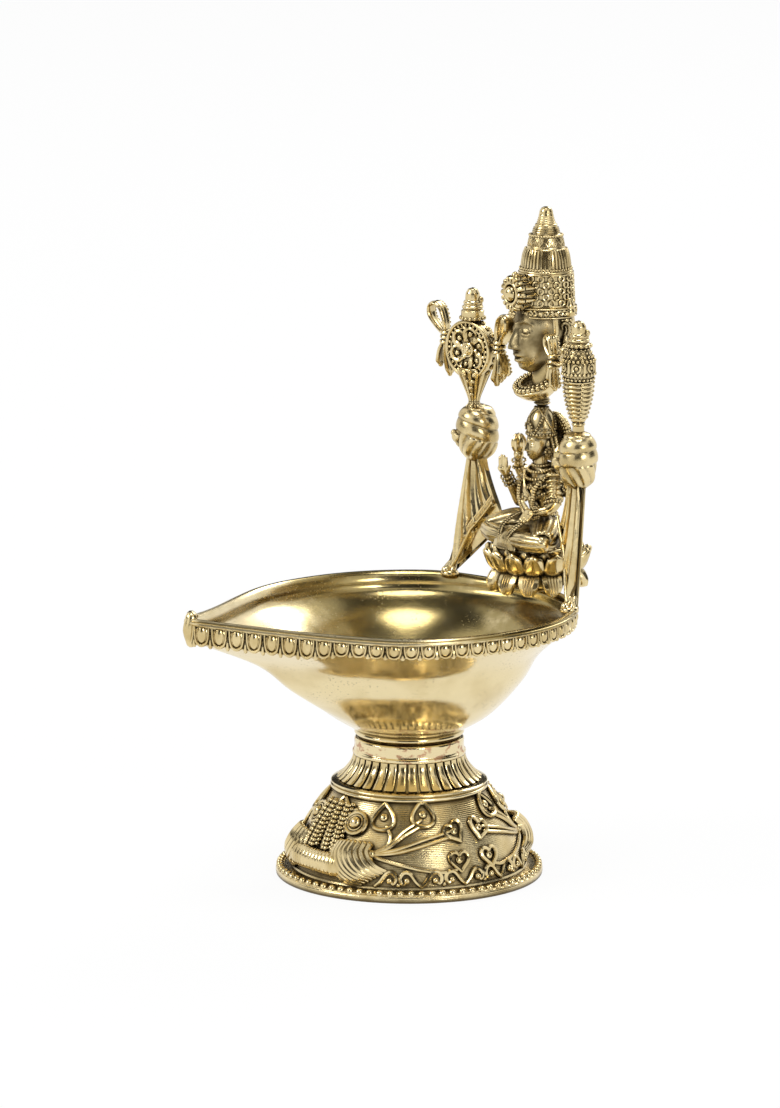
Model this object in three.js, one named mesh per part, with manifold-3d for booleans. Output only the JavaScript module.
// A brass devotional oil lamp (diya): a domed pedestal, a spouted oil bowl, and on the back of
// the bowl's rim a lotus seat with a goddess, two drapes with a discus and a conch above them,
// and a crowned head. Millimetres, +Z up, the spout and all the figures face -Y.
import * as THREE from "three";
import { mergeVertices } from "three/addons/utils/BufferGeometryUtils.js";
import Module from "manifold-3d";

const wasm = await Module();
wasm.setup();

// Clearance between pieces that are brazed or screwed together
const seatGap = 0.3;

// How many sides a turned piece has
const wideSides = 40;

// Pedestal
const domeBaseRadius = 30.4;
const domeTopRadius = 19.6;
const domeHeight = 23.2;
const domeWall = 2.4;
const flangeWidth = 4.6;
const flangeHeight = 2.2;
const footBeadCount = 72;
const footBeadRadius = 1.3;
const trunkLift = 4.6;
const trunkRadius = 2.8;
const rosetteRadius = 4;
const foliageLift = 6.4;
const foliageRadius = 3;
const bossLift = 10.6;
const bossRadius = 2;
const stepWidth = 1.1;
const stepHeight = 2.4;
const edgeRadius = 0.5;
const fluteCount = 36;
const fluteDepth = 0.8;
const neckInset = 1.5;
const neckTopRadius = 14.8;
const neckHeight = 6.6;
const collarInset = 0.4;
const collarHeight = 4.6;
const collarBead = 0.9;
const solderHeight = 0.5;
const solderInset = 1.1;
const bowlRingHeight = 1.6;

// Oil bowl and its spout
const bowlBaseRadius = 14.2;
const bowlHeight = 32.2;
const bowlWall = 2.2;
const rimRadius = 44.2;
const spoutLength = 68;
const spoutTipRadius = 3.5;
const spoutFullness = 1.75;
const spoutRise = 4;
const spoutRiseStart = 26;
const lipHeight = 0.8;
const lipWidth = 2.8;
const rimBandHeight = 3.4;
const rimBandDrop = 1.5;
const rimBandDropStart = 38;
const rimBandDropEnd = 25;
const rimOverhang = 1.9;
const eggCount = 68;
const eggDepth = 0.9;
const eggSetback = 0.8;

// Lotus seat on the back of the rim
const lotusInset = 3.9;
const lotusFootHeight = 2.5;
const lotusFootRadius = 4.2;
const lowerPetalCount = 12;
const lowerPetalReach = 12;
const lowerLotusHeight = 3.4;
const upperPetalCount = 14;
const upperPetalReach = 13.5;
const upperLotusHeight = 6.2;
const lotusHubRadius = 8.4;
const petalWidth = 3;
const petalThickness = 1.1;

// Seated goddess; her body is measured in talas, the length of her face
const tala = 7.8;
const goddessSetback = 0.9;
const kneeSpread = 12.2;
const kneeForward = 7.3;
const goddessCrownHeight = 8.2;
const haloRadius = 7.2;
const haloThickness = 1.2;
const budRadius = 1.9;

// Drapes and their bunched fists
const drapeAngle = 41;
const drapeSetback = 1.3;
const drapeThickness = 1.7;
const drapeFoldDepth = 1.1;
const drapeTopHalf = 3.5;
const hemInnerX = 12.8;
const hemInnerLift = 21;
const hemArch = 1.6;
const postSpread = 23.6;
const postInset = 7.3;
const fistLift = 38.9;
const fistRadius = 5.2;
const fistHeight = 15.2;
const fistTwist = 0.9;
const drapeFootRadius = 2.5;
const drapeFootHeight = 1.6;
const rivetRadius = 1.3;
const rivetForward = 2.3;

// Discus and conch
const emblemLift = 64.2;
const stemRadius = 1.6;
const stemSocket = 1.6;
const bracketRadius = 3.1;
const discusRadius = 7.2;
const discusThickness = 2.2;
const discusForward = 2.6;
const discusBackThickness = 1.2;
const discusPetals = 8;
const discusHoleRadius = 1.25;
const discusHubRadius = 2;
const finialHeight = 6.9;
const finialRadius = 3;
const conchLift = 2.2;
const whorlHeight = 11;
const conchBodyHeight = 8.6;
const conchRadius = 4;
const ribbonWidth = 1.5;
const ribbonThickness = 0.75;
const ribbonReach = 12.4;
const ribbonLoopHeight = 7.4;
const ribbonTailLength = 11;
const ribbonForward = 2.2;
const knotRadius = 1.5;

// Crowned head
const pegRadius = 1.7;
const pegHeight = 1.6;
const dishRadius = 6.2;
const dishHeight = 4.6;
const necklaceRadius = 0.85;
const neckRadius = 3.7;
const chinLift = 2.9;
const headWidth = 7.1;
const headDepth = 7.7;
const headHeight = 9.4;
const headBandRadius = 8.5;
const headBandHeight = 2.9;
const latticeHeight = 8.8;
const latticeSetback = 0.7;
const latticeTopRadius = 7.3;
const latticeCount = 14;
const latticeRelief = 0.55;
const medallionRadius = 4.4;
const medallionThickness = 2.2;
const coneBaseRadius = 6.7;
const coneHeight = 17;
const earringRadius = 1.7;
const earringHeight = 4.2;

// Heights and places that follow from the sizes above
const footRadius = domeBaseRadius + flangeWidth;
const stepRadius = domeTopRadius + stepWidth;
const neckBaseRadius = stepRadius - neckInset;
const collarRadius = neckTopRadius - collarInset;
const stepTop = domeHeight + stepHeight;
const neckTop = stepTop + neckHeight;
const collarTop = neckTop + collarHeight;
const solderTop = collarTop + solderHeight;
const bowlBase = solderTop + bowlRingHeight;
const rimTop = bowlBase + bowlHeight;
const lotusY = rimRadius - lotusInset;
const lotusBase = rimTop + lotusFootHeight;
const lowerTop = lotusBase + lowerLotusHeight;
const seatTop = lowerTop + upperLotusHeight;
const goddessY = lotusY + goddessSetback;
const shoulderZ = seatTop + 2.5 * tala;
const goddessHeadZ = shoulderZ + 1.154 * tala;
const goddessCrownBase = goddessHeadZ + 0.31 * tala;
const goddessCrownTop = goddessCrownBase + goddessCrownHeight;
const postY = rimRadius - postInset;
const fistZ = rimTop + fistLift;
const emblemZ = rimTop + emblemLift;
const crownY = goddessY + 0.05 * tala;
const dishBase = goddessCrownTop + pegHeight;
const dishTop = dishBase + dishHeight;
const dishY = crownY;
const headY = dishY + 1;
const headZ = dishTop + headHeight + chinLift;
const headBandBase = headZ + headHeight * 0.36;
const latticeBase = headBandBase + headBandHeight;
const coneBase = latticeBase + latticeHeight;

// Finishes
const brass = { color: 0xc2a25c, roughness: 0.34, metalness: 1 };
const polishedBrass = { color: 0xd0b36a, roughness: 0.22, metalness: 1 };
const agedBrass = { color: 0x9a7a3e, roughness: 0.45, metalness: 1 };
const solder = { color: 0xb5714c, roughness: 0.4, metalness: 1 };

const lamp = new THREE.Group();

// Geometry with its shared corners merged and its faces pointing out
function closedFaces(geometry) {
  geometry.deleteAttribute("normal");
  geometry.deleteAttribute("uv");
  const merged = mergeVertices(geometry, 1e-4);
  const corner = merged.attributes.position;
  const [a, b, c] = [new THREE.Vector3(), new THREE.Vector3(), new THREE.Vector3()];
  const faces = [];
  let volume = 0;
  for (let i = 0; i < merged.index.count; i += 3) {
    const face = [0, 1, 2].map((k) => merged.index.getX(i + k));
    if (new Set(face).size < 3) continue;
    [a, b, c].forEach((p, k) => p.fromBufferAttribute(corner, face[k]));
    volume += a.dot(b.cross(c));
    faces.push(face);
  }
  merged.setIndex(faces.flatMap((face) => (volume < 0 ? face.reverse() : face)));
  return merged;
}

function solid(geometry) {
  const closed = closedFaces(geometry);
  const vertProperties = new Float32Array(closed.attributes.position.array);
  const triVerts = new Uint32Array(closed.index.array);
  return new wasm.Manifold(new wasm.Mesh({ numProp: 3, vertProperties, triVerts }));
}

function join(parts) {
  return parts.reduce((whole, part) => whole.add(part));
}

// The largest body of a solid, without the slivers that a cut can leave
function largest(shape) {
  return shape.decompose().reduce((a, b) => (a.volume() > b.volume() ? a : b));
}

// One closed surface through rings of equally many points; both ends are capped, or it loops
function skin(rings, loop = false) {
  const count = rings[0].length;
  const points = rings.flat();
  const faces = [];
  const bands = loop ? rings.length : rings.length - 1;
  for (let i = 0; i < bands; i += 1) {
    const near = i * count;
    const far = ((i + 1) % rings.length) * count;
    for (let j = 0; j < count; j += 1) {
      const k = (j + 1) % count;
      faces.push(near + j, near + k, far + k, near + j, far + k, far + j);
    }
  }
  if (!loop) {
    const last = (rings.length - 1) * count;
    for (const [start, turn] of [[0, 1], [last, 0]]) {
      const middle = new THREE.Vector3();
      for (let j = 0; j < count; j += 1) middle.addScaledVector(points[start + j], 1 / count);
      points.push(middle);
      for (let j = 0; j < count; j += 1) {
        const [p, q] = [start + j, start + ((j + 1) % count)];
        faces.push(points.length - 1, turn ? q : p, turn ? p : q);
      }
    }
  }
  const geometry = new THREE.BufferGeometry().setFromPoints(points);
  geometry.setIndex(faces);
  return solid(geometry);
}

// A solid turned about a vertical axis from [radius, height] pairs that start and end at radius 0
function turned(profile, x, y, sides, grow = 0) {
  const low = Math.min(...profile.map((p) => p[1]));
  const high = Math.max(...profile.map((p) => p[1]));
  const outline = profile.map(([r, z]) => {
    const shift = z === low ? -grow : z === high ? grow : 0;
    return new THREE.Vector2(r > 0 ? r + grow : 0, z + shift);
  });
  const geometry = new THREE.LatheGeometry(outline, sides);
  return solid(geometry.rotateX(Math.PI / 2).translate(x, y, 0));
}

function ball(centre, radii, sides, grow = 0) {
  const geometry = new THREE.SphereGeometry(1, sides, Math.max(4, Math.round(sides / 2)));
  geometry.rotateX(Math.PI / 2);
  geometry.scale(...radii.map((r) => r + grow)).translate(...centre);
  return solid(geometry);
}

// A limb, stem or petal: an ellipse swept along a curve, with [wide, thin] half sizes per point
function limb(points, sizes, sides, steps, grow = 0, reference = [0, 0, 1]) {
  const curve = new THREE.CatmullRomCurve3(points.map((p) => new THREE.Vector3(...p)));
  const across = new THREE.Vector3(...reference);
  const rings = [];
  for (let i = 0; i <= steps; i += 1) {
    const t = i / steps;
    const tangent = curve.getTangent(t);
    const centre = curve.getPoint(t);
    if (i === 0) centre.addScaledVector(tangent, -grow);
    if (i === steps) centre.addScaledVector(tangent, grow);
    const side = new THREE.Vector3().crossVectors(across, tangent).normalize();
    const face = new THREE.Vector3().crossVectors(tangent, side);
    const place = t * (sizes.length - 1);
    const k = Math.min(Math.floor(place), sizes.length - 2);
    const wide = THREE.MathUtils.lerp(sizes[k][0], sizes[k + 1][0], place - k) + grow;
    const thin = THREE.MathUtils.lerp(sizes[k][1], sizes[k + 1][1], place - k) + grow;
    const ring = [];
    for (let j = 0; j < sides; j += 1) {
      const angle = (2 * Math.PI * j) / sides;
      const point = centre.clone().addScaledVector(side, wide * Math.cos(angle));
      ring.push(point.addScaledVector(face, thin * Math.sin(angle)));
    }
    rings.push(ring);
  }
  return skin(rings);
}

function block(low, high) {
  const size = high.map((h, i) => h - low[i]);
  const geometry = new THREE.BoxGeometry(...size);
  geometry.translate(...high.map((h, i) => (h + low[i]) / 2));
  return solid(geometry);
}

// A named node from a solid, less the grown shapes of the neighbours that it seats against
function place(name, finish, shape, neighbours = []) {
  const body = neighbours.reduce((rest, cut) => rest.subtract(cut(seatGap)), shape(0));
  const mesh = largest(body).getMesh();
  const geometry = new THREE.BufferGeometry();
  const corners = new Float32Array(mesh.vertProperties);
  geometry.setAttribute("position", new THREE.BufferAttribute(corners, 3));
  geometry.setIndex(Array.from(mesh.triVerts));
  geometry.computeVertexNormals();
  const node = new THREE.Mesh(geometry, new THREE.MeshStandardMaterial(finish));
  node.name = name;
  lamp.add(node);
  return shape;
}

// Pedestal: a hollow dome with relief cast on it, on a flange with a row of beads
function domeRadius(z) {
  const t = THREE.MathUtils.clamp((z - flangeHeight) / (domeHeight - flangeHeight), 0, 1);
  return domeBaseRadius - (domeBaseRadius - domeTopRadius) * Math.pow(t, 1.7);
}

function domePoint(degrees, z, proud = 0) {
  const angle = THREE.MathUtils.degToRad(degrees);
  const r = domeRadius(z) + proud;
  return [r * Math.cos(angle), r * Math.sin(angle), z];
}

function domeShell() {
  const outer = [[0, domeHeight]];
  const inner = [];
  const bands = 5;
  for (let i = 0; i <= bands; i += 1) {
    const z = domeHeight - ((domeHeight - flangeHeight) * i) / bands;
    outer.push([domeRadius(z), z]);
    if (i < bands) inner.push([domeRadius(z) - domeWall, Math.min(z, domeHeight - domeWall)]);
  }
  outer.push([footRadius - flangeWidth * 0.04, flangeHeight], [footRadius, flangeHeight * 0.8]);
  outer.push([footRadius, 0], [domeBaseRadius - domeWall, 0]);
  return turned([...outer, ...inner.reverse(), [0, domeHeight - domeWall]], 0, 0, wideSides);
}

// The middle of the dome's wall, closed: what the relief is rooted in
function domeCore() {
  const bands = [0, 0.2, 0.4, 0.6, 0.8, 1];
  const outline = bands.map((t) => {
    const z = flangeHeight + (domeHeight - flangeHeight) * t;
    return [domeRadius(z) - domeWall / 2, Math.min(z, domeHeight - domeWall / 2)];
  });
  return turned([[0, -flangeHeight], [domeBaseRadius - domeWall / 2, -flangeHeight], ...outline,
    [0, domeHeight - domeWall / 2]], 0, 0, wideSides);
}

// Each cast figure group: a curved trunk between two ribbed rosettes, with foliage above
function domeRelief(facing) {
  const middle = flangeHeight + trunkLift;
  const trunk = [-30, -15, 0, 15, 30].map((a) => domePoint(facing + a, middle, trunkRadius * 0.2));
  const girth = [[0.86, 0.72], [1, 0.82], [0.86, 0.72]].map((pair) => pair.map((r) => r * trunkRadius));
  const parts = [limb(trunk, girth, 6, 4)];
  const foliage = [foliageRadius, foliageRadius, foliageRadius * 1.27];
  for (const side of [-1, 1]) {
    parts.push(ball(domePoint(facing + side * 36, middle), Array(3).fill(rosetteRadius), 8));
    parts.push(ball(domePoint(facing + side * 19, middle + foliageLift), foliage, 6));
    parts.push(ball(domePoint(facing + side * 24, middle + bossLift), Array(3).fill(bossRadius), 6));
  }
  parts.push(ball(domePoint(facing, middle + foliageLift), foliage, 6));
  return join(parts);
}

place("pedestal_dome", brass, () => {
  const relief = join([domeRelief(-90), domeRelief(90)]);
  const slab = block([-footRadius, -footRadius, flangeHeight], [footRadius, footRadius, domeHeight]);
  return domeShell().add(relief.intersect(slab).subtract(domeCore()));
});

// A ring of beads with a flat bottom: the section swells and shrinks along the ring
function beadRing(radius, base, beads, size) {
  const rings = [];
  for (let i = 0; i < beads * 2; i += 1) {
    const angle = (Math.PI * i) / beads;
    const swell = i % 2 ? size * 0.68 : size;
    const section = [[-swell, 0], [0, swell * 1.3], [swell, 0]];
    rings.push(section.map(([out, up]) => new THREE.Vector3(
      (radius + out) * Math.cos(angle), (radius + out) * Math.sin(angle), base + up)));
  }
  return skin(rings, true);
}

place("foot_bead_ring", brass, () =>
  beadRing(footRadius - footBeadRadius * 1.2, flangeHeight, footBeadCount, footBeadRadius));

place("step_disc", polishedBrass, () => turned(
  [[0, domeHeight], [stepRadius - edgeRadius, domeHeight], [stepRadius, domeHeight + edgeRadius],
    [stepRadius, stepTop - edgeRadius], [stepRadius - edgeRadius, stepTop], [0, stepTop]],
  0, 0, wideSides));

// The neck is drawn in under the collar and cut with upright flutes
place("fluted_neck", brass, () => {
  const rings = [];
  for (let i = 0; i <= 4; i += 1) {
    const t = i / 4;
    const r = THREE.MathUtils.lerp(neckBaseRadius, neckTopRadius, Math.sin((t * Math.PI) / 2));
    const ring = [];
    for (let j = 0; j < fluteCount * 2; j += 1) {
      const angle = (Math.PI * j) / fluteCount;
      const cut = j % 2 ? fluteDepth * Math.sin(Math.PI * Math.min(t + 0.08, 0.92)) : 0;
      ring.push(new THREE.Vector3(
        (r - cut) * Math.cos(angle), (r - cut) * Math.sin(angle), stepTop + neckHeight * t));
    }
    rings.push(ring);
  }
  return skin(rings);
});

place("neck_collar", polishedBrass, () => turned(
  [[0, neckTop], [collarRadius + edgeRadius, neckTop], [collarRadius + edgeRadius, neckTop + collarBead],
    [collarRadius, neckTop + collarBead * 1.5], [collarRadius, collarTop - edgeRadius],
    [collarRadius - edgeRadius, collarTop], [0, collarTop]], 0, 0, wideSides));

place("solder_seam", solder, () => turned(
  [[0, collarTop], [collarRadius - solderInset, collarTop], [collarRadius - solderInset, solderTop],
    [0, solderTop]], 0, 0, wideSides));

place("bowl_foot_ring", brass, () => turned(
  [[0, solderTop], [bowlBaseRadius - edgeRadius, solderTop],
    [bowlBaseRadius + edgeRadius / 2, solderTop + bowlRingHeight / 2],
    [bowlBaseRadius - edgeRadius / 4, bowlBase], [0, bowlBase]], 0, 0, wideSides));

// The rim seen from above: a circle drawn out by two tangents to a small round spout tip
const tipDistance = spoutLength - spoutTipRadius;
const tangentAngle = Math.acos((rimRadius - spoutTipRadius) / tipDistance);
const tipAngle = Math.atan2(spoutTipRadius * Math.sin(tangentAngle),
  tipDistance + spoutTipRadius * Math.cos(tangentAngle));

function rimReach(turn) {
  const angle = Math.abs(turn);
  if (angle < tipAngle) {
    const across = tipDistance * Math.sin(angle);
    return tipDistance * Math.cos(angle) + Math.sqrt(spoutTipRadius ** 2 - across ** 2);
  }
  const bulge = angle < Math.PI / 2 ? spoutFullness * Math.sin(2 * angle) ** 2 : 0;
  return (angle < tangentAngle ? rimRadius / Math.cos(angle - tangentAngle) : rimRadius) + bulge;
}

function rimPoint(turn, reach = rimReach(turn)) {
  return new THREE.Vector3(reach * Math.sin(turn), -reach * Math.cos(turn), 0);
}

function spoutLift(turn) {
  const along = rimReach(turn) * Math.cos(turn);
  const t = THREE.MathUtils.clamp((along - spoutRiseStart) / (spoutLength - spoutRiseStart), 0, 1);
  return spoutRise * Math.pow(t, 1.5);
}

// Turns about the bowl's axis at equal steps along the rim, with the outward direction at each
function rimStations(count) {
  const fine = 4000;
  const lengths = [0];
  let before = rimPoint(-Math.PI);
  for (let i = 1; i <= fine; i += 1) {
    const here = rimPoint(-Math.PI + (2 * Math.PI * i) / fine);
    lengths.push(lengths[i - 1] + here.distanceTo(before));
    before = here;
  }
  const stations = [];
  for (let i = 0, k = 0; i < count; i += 1) {
    while (lengths[k + 1] < (lengths[fine] * i) / count) k += 1;
    const turn = -Math.PI + (2 * Math.PI * k) / fine;
    const along = rimPoint(turn + 0.004).sub(rimPoint(turn - 0.004)).normalize();
    stations.push({ turn, out: new THREE.Vector3(along.y, -along.x, 0) });
  }
  return stations;
}

// The strip under the lip is taller along the spout
function bandHeight(turn) {
  const degrees = THREE.MathUtils.radToDeg(Math.abs(turn));
  const share = 1 - THREE.MathUtils.smoothstep(degrees, rimBandDropEnd, rimBandDropStart);
  return rimBandHeight + rimBandDrop * share;
}

const stations = rimStations(eggCount * 2);
const bowlStations = stations.filter(({ turn }, i) => i % 2 === 0 || Math.abs(turn) < 0.2);

// A level ring of the bowl: a circle that takes on a share of the spout and of its rise
function bowlRing(radius, height, spoutShare, riseShare) {
  return bowlStations.map(({ turn }) => {
    const point = rimPoint(turn, radius + (rimReach(turn) - rimRadius) * spoutShare);
    return point.setZ(height + spoutLift(turn) * riseShare);
  });
}

// A ring set in from the rim's outline by an equal width
function rimRing(inset, height, drop = () => 0) {
  return bowlStations.map(({ turn, out }) => {
    const point = rimPoint(turn).addScaledVector(out, -inset);
    return point.setZ(height - drop(turn) + spoutLift(turn));
  });
}

// A ring of the bowl's wall: shares of its flare, its height, the spout and the spout's rise
function wallRing(flare, height, spoutShare, riseShare, inset = 0) {
  const radius = THREE.MathUtils.lerp(bowlBaseRadius, rimRadius, flare) - inset;
  return bowlRing(radius, bowlBase + bowlHeight * height, spoutShare, riseShare);
}

const bandTop = rimTop - lipHeight;
place("bowl", polishedBrass, () => skin([
  bowlRing(bowlBaseRadius, bowlBase, 0, 0),
  wallRing(0.263, 0.155, 0, 0),
  wallRing(0.523, 0.422, 0.24, 0),
  wallRing(0.673, 0.652, 0.5, 0.2),
  rimRing(rimOverhang, bandTop, bandHeight),
  rimRing(rimOverhang, bandTop),
  rimRing(0, bandTop),
  rimRing(0, rimTop),
  rimRing(lipWidth, rimTop),
  bowlRing(rimRadius - lipWidth - bowlWall / 2, rimTop - rimBandHeight, 0.9, 0.9),
  wallRing(0.673, 0.677, 0.54, 0.3, bowlWall),
  wallRing(0.263, 0.23, 0.1, 0, bowlWall),
  wallRing(0, 0.093, 0, 0, bowlWall * 2),
]));

// Egg-and-dart strip under the lip: one raised egg at every second station
place("rim_egg_strip", brass, () => {
  const rings = stations.map(({ turn, out }, i) => {
    const proud = i % 2 ? eggDepth : 0;
    const depth = bandHeight(turn);
    const section = [[-rimOverhang + seatGap, -depth], [proud - eggSetback, -depth],
      [proud - eggSetback, -seatGap], [-rimOverhang + seatGap, -seatGap]];
    return section.map(([reach, drop]) => rimPoint(turn).addScaledVector(out, reach)
      .setZ(bandTop + drop + spoutLift(turn)));
  });
  return skin(rings, true);
});

// Lotus: a foot on the rim, a drooping lower row and an upturned upper row of petals, a seed pod
place("lotus_foot", brass, () => turned(
  [[0, rimTop], [lotusFootRadius, rimTop], [lotusFootRadius * 0.7, rimTop + lotusFootHeight * 0.5],
    [lotusFootRadius, lotusBase], [0, lotusBase]], 0, lotusY, 20));

// A row of petals round a hub: each leaves the hub at one height, bends and ends at its tip
function petals(count, outline, base, top) {
  const shapes = [turned(
    [[0, base], [lotusHubRadius, base], [lotusHubRadius, top], [0, top]], 0, lotusY, count)];
  const sizes = [[0.65, 0.9], [1, 1], [0.36, 0.55]].map(
    ([wide, thin]) => [wide * petalWidth, thin * petalThickness]);
  for (let i = 0; i < count; i += 1) {
    const angle = (2 * Math.PI * (i + 0.5)) / count;
    const points = outline.map(([r, z]) => [r * Math.cos(angle), lotusY + r * Math.sin(angle), z]);
    shapes.push(limb(points, sizes, 4, 3));
  }
  return join(shapes);
}

// Everything below or above a height, as far out as the lamp reaches
const far = spoutLength * 2;
const below = (z) => block([-far, -far, z - far], [far, far, z]);
const above = (z) => block([-far, -far, z], [far, far, z + far]);

const lotusLower = place("lotus_lower_petals", brass, () => petals(
  lowerPetalCount,
  [[lotusHubRadius * 0.6, lowerTop - lowerLotusHeight * 0.35],
    [lowerPetalReach * 0.8, lowerTop - lowerLotusHeight * 0.44],
    [lowerPetalReach, lotusBase - lowerLotusHeight * 0.38]],
  lotusBase, lowerTop).subtract(above(lowerTop)));

place("lotus_upper_petals", brass, () => petals(
  upperPetalCount,
  [[lotusHubRadius * 0.6, lowerTop + upperLotusHeight * 0.26],
    [upperPetalReach * 0.85, lowerTop + upperLotusHeight * 0.36],
    [upperPetalReach, seatTop - upperLotusHeight * 0.13]],
  lowerTop, seatTop).subtract(below(lowerTop)).subtract(above(seatTop)));

// Goddess: crossed legs on the seat, torso, head with crown and halo, four arms, two lotus buds
const seated = (x, y, z) => [x * tala, goddessY + y * tala, seatTop + z * tala];

// A limb of hers, with its points and its [wide, thin] half sizes in talas
function fleshed(points, sizes, sides, steps, grow, reference) {
  const girth = sizes.map(([wide, thin]) => [wide * tala, thin * tala]);
  return limb(points.map((point) => seated(...point)), girth, sides, steps, grow, reference);
}

function lap(grow) {
  const parts = [ball(seated(0, 0.06, 0.47), [0.82 * tala, 0.56 * tala, 0.54 * tala], 10, grow)];
  for (const side of [-1, 1]) {
    const knee = [(side * kneeSpread) / tala, -kneeForward / tala, 0.36];
    parts.push(fleshed([[side * 0.38, -0.04, 0.45], [side * 1.08, -0.32, 0.45], knee],
      [[0.4, 0.4], [0.4, 0.4], [0.32, 0.3]], 6, 3, grow));
    parts.push(fleshed([knee, [side * 0.64, -1.19, 0.31],
      [side * -0.59, -1.17 + side * 0.13, 0.26 + side * 0.08]],
    [[0.32, 0.3], [0.27, 0.24], [0.19, 0.15]], 6, 3, grow));
  }
  parts.push(fleshed([[0, -0.63, 0.4], [0, -1.32, 0.33], [0, -1.42, 0]],
    [[0.64, 0.2], [0.54, 0.18], [0.38, 0.13]], 6, 3, grow));
  return join(parts).subtract(below(seatTop));
}
place("goddess_lap", brass, lap);

function torso(grow) {
  const throat = [[0, -0.13], [0.24, -0.13], [0.19, 0.38], [0.2, 0.77], [0, 0.77]];
  return join([
    fleshed([[0, 0.13, 0.51], [0, 0.1, 1.03], [0, 0.03, 1.8], [0, 0.08, 2.5]],
      [[0.59, 0.46], [0.42, 0.33], [0.56, 0.44], [0.44, 0.28]], 10, 6, grow, [0, 1, 0]),
    fleshed([[-0.72, 0.13, 2.32], [0, 0.12, 2.45], [0.72, 0.13, 2.32]],
      [[0.2, 0.2], [0.28, 0.26], [0.2, 0.2]], 8, 4, grow),
    turned(throat.map(([r, z]) => [r * tala, shoulderZ + z * tala]), 0, crownY, 12, grow),
  ]);
}
place("goddess_torso", brass, torso, [lap]);

// A head in the round: an egg narrowed to the chin, with plain even features
function faceBumps(x, y, z) {
  const front = Math.max(0, -y) ** 2;
  const near = (cx, cz, w, h) => Math.exp(-(((x - cx) / w) ** 2) - ((z - cz) / h) ** 2);
  const nose = 0.2 * near(0, -0.16, 0.13, 0.2);
  const sockets = -0.07 * (near(-0.36, 0.06, 0.2, 0.12) + near(0.36, 0.06, 0.2, 0.12));
  const lips = 0.07 * near(0, -0.5, 0.24, 0.08);
  const chin = 0.06 * near(0, -0.8, 0.25, 0.14);
  return 1 + front * (nose + sockets + lips + chin);
}

function headShape(centre, radii, sides, grow) {
  const geometry = new THREE.SphereGeometry(1, sides, Math.round(sides * 0.75));
  geometry.rotateX(Math.PI / 2);
  const point = geometry.attributes.position;
  for (let i = 0; i < point.count; i += 1) {
    const [x, y, z] = [point.getX(i), point.getY(i), point.getZ(i)];
    const jaw = z < 0 ? 1 - 0.24 * z * z : 1;
    const bump = faceBumps(x, y, z);
    point.setXYZ(i, x * jaw * bump, y * jaw * bump, z);
  }
  geometry.scale(...radii.map((r) => r + grow)).translate(...centre);
  return solid(geometry);
}

const goddessFace = [0, goddessY - 0.03 * tala, goddessHeadZ];
const goddessSkull = [0.385 * tala, 0.415 * tala, 0.5 * tala];
const goddessHead = place("goddess_head", brass,
  (grow) => headShape(goddessFace, goddessSkull, 14, grow), [torso]);

function goddessCrown(grow) {
  const tiers = [[0.45, -0.17], [0.49, 0], [0.4, 0.12], [0.45, 0.27], [0.3, 0.37], [0.33, 0.54],
    [0.19, 0.66], [0.21, 0.9]];
  const outline = tiers.map(([r, up]) => [r * tala, goddessCrownBase + up * goddessCrownHeight]);
  return turned([[0, outline[0][1]], ...outline, [0.09 * tala, goddessCrownTop], [0, goddessCrownTop]],
    0, crownY, 12, grow);
}
place("goddess_crown", brass, goddessCrown, [goddessHead]);

// The halo is an arch that stands on the shoulders behind the head
function halo(grow) {
  const [r, t, foot] = [haloRadius + grow, haloThickness + 2 * grow, -haloRadius * 0.75 - grow];
  const arch = new THREE.Shape();
  arch.moveTo(-r, foot).lineTo(-r, 0).absarc(0, 0, r, Math.PI, 0, true);
  arch.lineTo(r, foot).lineTo(-r, foot);
  const plate = new THREE.ExtrudeGeometry(arch, { depth: t, bevelEnabled: false, curveSegments: 10 });
  return solid(plate.rotateX(Math.PI / 2).translate(0, goddessY + 0.62 * tala + t / 2, goddessHeadZ));
}
place("goddess_halo", brass, halo, [goddessHead, goddessCrown, torso]);

function frontArm(side) {
  const hand = side < 0 ? [side * 0.79, -0.92, 2.55] : [side * 0.9, -1.03, 1.29];
  const palm = seated(hand[0], hand[1] - 0.05, hand[2] + 0.12);
  return (grow) => join([
    fleshed([[side * 0.72, 0.08, 2.27], [side * 1.08, -0.18, 1.53], [side * 0.97, -0.64, 1.4], hand],
      [[0.22, 0.22], [0.16, 0.16], [0.16, 0.16], [0.12, 0.12]], 6, 7, grow, [1, 0, 0]),
    ball(palm, [0.19 * tala, 0.12 * tala, 0.26 * tala], 8, grow),
  ]);
}

function rearArm(side) {
  return (grow) => fleshed([[side * 0.67, 0.28, 2.24], [side * 1.23, 0.33, 1.91],
    [side * 1.46, 0.13, 2.37], [side * 1.28, -0.03, 2.86]],
  [[0.19, 0.19], [0.16, 0.16], [0.16, 0.16], [0.15, 0.15]], 6, 7, grow, [0, 1, 0]);
}

function bud(side) {
  const [x, y, z] = seated(side * 1.28, -0.03, 2.86);
  const low = z + seatGap;
  const outline = [[0, 0], [0.42, 0], [1, 1.3], [0.8, 2.2], [0, 3]].map(
    ([r, up]) => [r * budRadius, low + up * budRadius]);
  return (grow) => turned(outline, x, y, 10, grow);
}

const rearArms = [-1, 1].map((side) => rearArm(side));
const frontArms = [-1, 1].map((side) => frontArm(side));
["right", "left"].forEach((name, i) => {
  const side = i ? 1 : -1;
  place("goddess_front_arm_" + name, brass, frontArms[i], [torso, lap]);
  place("goddess_rear_arm_" + name, brass, rearArms[i], [torso, frontArms[i], halo]);
  place("lotus_bud_" + name, brass, bud(side), [rearArms[i]]);
});

// Drape: a sheet hung from the fist, its hem running up and in from a foot on the rim
const footTurn = THREE.MathUtils.degToRad(drapeAngle);
const footReach = rimRadius - drapeSetback;
const drapeFoot = [footReach * Math.sin(footTurn), footReach * Math.cos(footTurn)];

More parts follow.
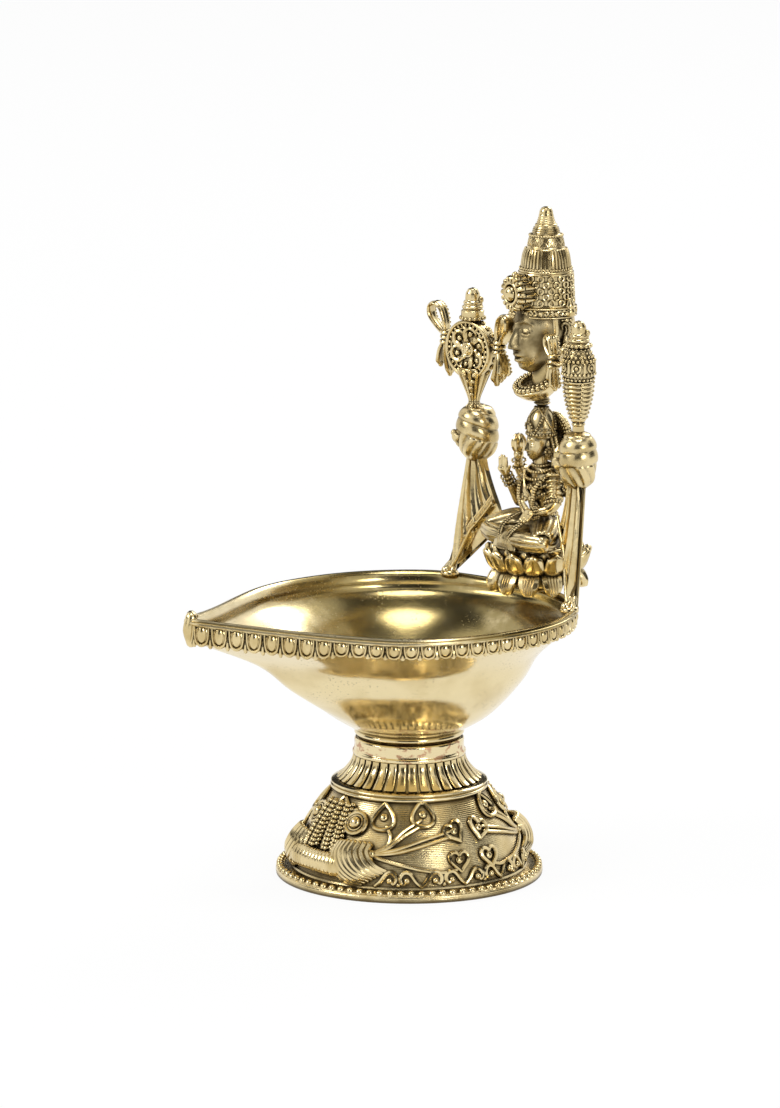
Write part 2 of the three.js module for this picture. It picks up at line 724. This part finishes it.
// A fist: a bunch of cloth that bulges and is wrapped by slanting folds
function fist(side) {
  return (grow) => {
    const rings = [];
    for (let i = 1; i < 10; i += 1) {
      const t = (Math.PI * i) / 10;
      const ring = [];
      for (let j = 0; j < 16; j += 1) {
        const angle = (2 * Math.PI * j) / 16;
        const fold = 1 + 0.07 * Math.cos(10 * t + angle);
        const r = fistRadius * Math.sin(t) ** 0.8 * fold + grow;
        const twist = fistTwist * Math.sin(angle) * Math.sin(t);
        ring.push(new THREE.Vector3(side * (postSpread + r * Math.cos(angle)),
          postY + r * Math.sin(angle), fistZ - (fistHeight / 2 + grow) * Math.cos(t) + twist));
      }
      rings.push(ring);
    }
    return skin(rings);
  };
}

function drape(side) {
  return (grow) => {
    const rings = [];
    const [steps, folds] = [7, 12];
    const top = fistZ - fistHeight * 0.32;
    for (let i = 0; i <= steps; i += 1) {
      const t = i / steps;
      const outer = [THREE.MathUtils.lerp(postSpread + drapeTopHalf, drapeFoot[0] + drapeFootRadius / 2, t),
        THREE.MathUtils.lerp(postY, drapeFoot[1], t), THREE.MathUtils.lerp(top, rimTop, t)];
      const inner = [THREE.MathUtils.lerp(postSpread - drapeTopHalf, hemInnerX, t ** 1.2),
        THREE.MathUtils.lerp(postY, lotusY - drapeThickness, t),
        THREE.MathUtils.lerp(top, rimTop + hemInnerLift, t ** 0.8)];
      const [front, back] = [[], []];
      for (let j = 0; j <= folds; j += 1) {
        const s = j / folds;
        const sag = hemArch * t * s * (1 - s) * 4;
        const fold = drapeFoldDepth * (j % 2 ? 1 : -0.3) * (0.5 + 0.5 * t);
        const [x, y, z] = outer.map((value, k) => THREE.MathUtils.lerp(value, inner[k], s));
        const half = drapeThickness / 2 + grow;
        front.push(new THREE.Vector3(side * x, y - fold - half, z + sag));
        back.push(new THREE.Vector3(side * x, y - fold * 0.5 + half, z + sag));
      }
      rings.push([...front, ...back.reverse()]);
    }
    const foot = turned([[0, rimTop], [drapeFootRadius + grow, rimTop],
      [drapeFootRadius * 0.9 + grow, rimTop + drapeFootHeight], [0, rimTop + drapeFootHeight]],
    side * drapeFoot[0], drapeFoot[1] - rivetForward / 2, 12);
    return skin(rings).add(foot).subtract(below(rimTop));
  };
}

const fists = [-1, 1].map((side) => fist(side));
const drapes = [-1, 1].map((side) => drape(side));
["right", "left"].forEach((name, i) => {
  const side = i ? 1 : -1;
  const low = rimTop + drapeFootHeight;
  place("fist_" + name, brass, fists[i]);
  place("drape_" + name, brass, drapes[i], [fists[i], lap, lotusLower, rearArms[i]]);
  place("foot_rivet_" + name, polishedBrass, () => turned(
    [[0, low], [rivetRadius, low], [rivetRadius * 0.7, low + rivetRadius * 0.6],
      [0, low + rivetRadius * 0.8]], side * drapeFoot[0], drapeFoot[1] - rivetForward, 10), [drapes[i]]);
});

// Discus on the right: a stem, a back plate, an openwork front plate, a hub and a finial
const stemLow = fistZ + fistHeight / 2 - stemSocket;
function discusStem(grow) {
  const high = emblemZ - discusRadius * 0.5;
  const points = [[0, stemLow], [stemRadius, stemLow], [stemRadius * 0.9, stemLow + stemSocket * 2],
    [bracketRadius, high - stemSocket], [bracketRadius, high], [0, high]];
  return turned(points, -postSpread, postY - discusForward * 0.3, 14, grow);
}

function disc(radius, thickness, y, grow = 0, petalCount = 0) {
  const outline = new THREE.Shape().absarc(0, 0, radius + grow, 0, 2 * Math.PI, false);
  for (let i = 0; i < petalCount; i += 1) {
    const angle = (2 * Math.PI * i) / petalCount;
    const at = new THREE.Vector2(radius * 0.6 * Math.cos(angle), radius * 0.6 * Math.sin(angle));
    const corners = [0, 1, 2, 3, 4, 5].map((k) => at.clone().add(
      new THREE.Vector2(discusHoleRadius, 0).rotateAround(new THREE.Vector2(), (-k * Math.PI) / 3)));
    outline.holes.push(new THREE.Path(corners));
  }
  const depth = thickness + 2 * grow;
  const plate = new THREE.ExtrudeGeometry(outline, { depth, bevelEnabled: false, curveSegments: 12 });
  return solid(plate.rotateX(Math.PI / 2).translate(-postSpread, y + depth / 2, emblemZ));
}

const plateY = postY - discusForward;
const backY = plateY + (discusThickness + discusBackThickness) / 2 + seatGap;
const discusBack = (grow) => disc(discusRadius * 0.9, discusBackThickness, backY, grow);
const discusFront = (grow) => disc(discusRadius, discusThickness, plateY, grow, grow ? 0 : discusPetals);
const hub = (grow) => ball([-postSpread, plateY - discusThickness / 2, emblemZ],
  [discusHubRadius, discusHubRadius * 0.65, discusHubRadius], 12, grow);
place("discus_plate", brass, discusFront, [hub]);
place("discus_back", agedBrass, discusBack, [discusFront]);
place("discus_hub", polishedBrass, hub);
place("discus_stem", brass, discusStem, [fists[0], discusFront, discusBack]);

function finial(side, base) {
  const y = side < 0 ? postY - discusForward * 0.6 : postY;
  const tiers = [[0.93, 0], [1, 0.13], [0.67, 0.22], [0.87, 0.33], [0.6, 0.43], [0.73, 0.57],
    [0.57, 0.75], [0.3, 0.96]];
  const outline = tiers.map(([r, up]) => [r * finialRadius, base + up * finialHeight]);
  return (grow) => turned([[0, base], ...outline, [0, base + finialHeight]],
    side * postSpread, y, 12, grow);
}
const discusFinial = finial(-1, emblemZ + discusRadius - edgeRadius);
place("discus_finial", brass, discusFinial, [discusFront, discusBack]);

// Ribbon: a loop, a knot and two tails beside its emblem
function ribbon(x, reach, forward) {
  const [y, z, loop, tail] = [postY, emblemZ, ribbonLoopHeight, ribbonTailLength];
  const knot = [x + reach * 0.72, y + forward * 0.7, z - knotRadius * 0.4];
  const band = [[ribbonThickness, ribbonWidth], [ribbonThickness, ribbonWidth]];
  const end = [[ribbonThickness, ribbonWidth * 0.8], [ribbonThickness, ribbonWidth * 1.1],
    [ribbonThickness * 0.7, ribbonWidth]];
  return (grow) => join([
    limb([[x + reach * 0.42, y, z], knot], band, 4, 1, grow, [0, 1, 0]),
    ball(knot, Array(3).fill(knotRadius), 6, grow),
    limb([knot, [x + reach * 0.86, y + forward, z + loop * 0.54],
      [x + reach * 1.1, y + forward * 1.2, z + loop],
      [x + reach * 1.26, y + forward * 1.1, z + loop * 0.62],
      [knot[0] + reach * 0.03, knot[1], knot[2]]], band, 4, 9, grow, [0, 1, 0]),
    limb([knot, [x + reach * 0.84, y + forward, z - tail * 0.4],
      [x + reach * 0.78, y + forward * 1.2, z - tail * 0.78]], end, 4, 3, grow, [0, 1, 0]),
    limb([knot, [x + reach * 0.62, y + forward, z - tail * 0.45],
      [x + reach * 0.6, y + forward * 1.4, z - tail]], end, 4, 3, grow, [0, 1, 0]),
  ]);
}
const discusParts = [discusFront, discusBack];
place("discus_ribbon_outer", brass, ribbon(-postSpread, -ribbonReach, -ribbonForward), discusParts);
place("discus_ribbon_inner", brass, ribbon(-postSpread, ribbonReach, ribbonForward), discusParts);

// Conch on the left: a stem, ribbed whorls, a swelling body and a finial
const conchBase = fistZ + fistHeight / 2 + conchLift;
const whorlTop = conchBase + whorlHeight;
const conchTop = whorlTop + conchBodyHeight;
function whorls(grow) {
  const rings = [];
  for (let i = 0; i <= 12; i += 1) {
    const t = i / 12;
    const r = THREE.MathUtils.lerp(stemRadius * 1.2, conchRadius, Math.sin((t * Math.PI) / 2));
    const ring = [];
    for (let j = 0; j < 12; j += 1) {
      const angle = (2 * Math.PI * j) / 12;
      const reach = r * (i % 2 ? 1 : 0.9) + grow;
      const ends = i === 0 ? -grow : i === 12 ? grow : 0;
      ring.push(new THREE.Vector3(postSpread + reach * Math.cos(angle),
        postY + reach * Math.sin(angle), THREE.MathUtils.lerp(conchBase + seatGap, whorlTop, t) + ends));
    }
    rings.push(ring);
  }
  return skin(rings);
}
const conchBody = (grow) => turned([[0, whorlTop + seatGap], [conchRadius, whorlTop + seatGap],
  [conchRadius * 1.1, whorlTop + conchBodyHeight * 0.3], [conchRadius, whorlTop + conchBodyHeight * 0.7],
  [conchRadius * 0.7, conchTop], [0, conchTop]], postSpread, postY, 16, grow);
const conchStem = (grow) => turned([[0, stemLow], [stemRadius, stemLow], [stemRadius * 0.9, conchBase - 1],
  [stemRadius * 1.1, conchBase], [0, conchBase]], postSpread, postY, 12, grow);
place("conch_stem", brass, conchStem, [fists[1], whorls]);
place("conch_whorls", brass, whorls);
place("conch_body", brass, conchBody);
place("conch_finial", brass, finial(1, conchTop + seatGap), [conchBody]);
place("conch_ribbon_inner", brass, ribbon(postSpread, -ribbonReach, ribbonForward), [conchBody, whorls]);

// Head: a peg on the goddess's crown, a flared dish, a neck with a necklace, head and crown
place("head_peg", agedBrass, () => turned(
  [[0, goddessCrownTop], [pegRadius * 0.5, goddessCrownTop],
    [pegRadius, goddessCrownTop + pegHeight * 0.45], [pegRadius, dishBase], [0, dishBase]],
  0, crownY, 12));

place("neck_dish", brass, () => turned(
  [[0, dishBase], [pegRadius * 1.5, dishBase], [dishRadius * 0.72, dishBase + dishHeight * 0.45],
    [dishRadius, dishTop - edgeRadius * 1.6], [dishRadius - edgeRadius, dishTop], [0, dishTop]],
  0, dishY, 24));

const faceCentre = [0, headY, headZ];
const earZ = headZ - headHeight * 0.06;
const skull = (grow) => join([
  headShape(faceCentre, [headWidth, headDepth, headHeight], 20, grow),
  turned([[0, dishTop], [neckRadius, dishTop], [neckRadius, headZ - headHeight * 0.5],
    [0, headZ - headHeight * 0.5]], 0, (dishY + headY) / 2, 16, grow),
  ...[-1, 1].map((side) => ball([side * headWidth, headY + headDepth * 0.08, earZ],
    [headWidth * 0.14, headDepth * 0.2, headHeight * 0.32], 8, grow)),
]);
place("head", polishedBrass, (grow) => skull(grow).subtract(below(dishTop)));

place("necklace", brass, () => {
  const ring = new THREE.TorusGeometry(dishRadius - necklaceRadius, necklaceRadius, 6, 26);
  return solid(ring.translate(0, dishY, dishTop + necklaceRadius));
}, [skull]);

["right", "left"].forEach((name, i) => {
  const side = i ? 1 : -1;
  const top = earZ - headHeight * 0.28;
  const drop = [[0.6, 0.95], [1, 0.57], [0.6, 0.24]].map(
    ([r, down]) => [r * earringRadius, top - down * earringHeight]);
  place("earring_" + name, brass, (grow) => turned(
    [[0, top - earringHeight], ...drop, [0, top]],
    side * (headWidth + earringRadius * 0.5), headY + headDepth * 0.08, 10, grow), [skull]);
});

const band = (grow) => turned([[0, headBandBase], [headBandRadius - edgeRadius, headBandBase],
  [headBandRadius, headBandBase + edgeRadius], [headBandRadius, latticeBase - edgeRadius],
  [headBandRadius - edgeRadius, latticeBase], [0, latticeBase]], 0, headY, 28, grow);
place("headband", brass, band, [skull]);

// The lattice band is a drum with a row of raised lozenges
function lattice(grow) {
  const rings = [];
  for (let i = 0; i <= 5; i += 1) {
    const t = i / 5;
    const r = THREE.MathUtils.lerp(headBandRadius - latticeSetback, latticeTopRadius, t);
    const ring = [];
    for (let j = 0; j < latticeCount * 2; j += 1) {
      const angle = (Math.PI * j) / latticeCount;
      const raised = i > 0 && i < 5 && (i + j) % 2 ? latticeRelief : 0;
      const reach = r + raised + grow;
      ring.push(new THREE.Vector3(reach * Math.cos(angle), headY + reach * Math.sin(angle),
        latticeBase + latticeHeight * t));
    }
    rings.push(ring);
  }
  return skin(rings);
}
place("crown_lattice", brass, lattice, [skull]);

function medallion(grow) {
  const at = [0, headY - headBandRadius - edgeRadius, latticeBase + latticeHeight * 0.42];
  const [r, t] = [medallionRadius + grow, medallionThickness];
  const boss = [medallionRadius * 0.62, t * 0.6, medallionRadius * 0.62];
  return join([solid(new THREE.CylinderGeometry(r, r, t, 20).translate(...at)),
    ball([at[0], at[1] - t * 0.45, at[2]], boss, 12, grow)]);
}
place("crown_medallion", brass, medallion, [lattice, band]);

// The crown's cone: rings, an upright-fluted band, then tiers to the tip
place("crown_cone", brass, () => {
  const [r, z] = [coneBaseRadius, coneBase];
  const tiers = [[1.08, 0], [1.08, 0.05], [1, 0.09], [0.93, 0.29], [0.82, 0.33], [0.8, 0.37],
    [0.68, 0.5], [0.62, 0.52], [0.55, 0.66], [0.48, 0.68], [0.38, 0.82], [0.3, 0.84],
    [0.25, 0.95], [0.12, 0.99]];
  const outline = tiers.map(([across, up]) => [r * across, z + coneHeight * up]);
  return turned([[0, z], ...outline, [0, z + coneHeight]], 0, headY, 20);
});

// The origin is the middle of the lamp's footprint box on the surface that it stands on
const bounds = new THREE.Box3().setFromObject(lamp);
const middle = bounds.getCenter(new THREE.Vector3());
lamp.position.set(-middle.x, -middle.y, -bounds.min.z);

export default lamp;
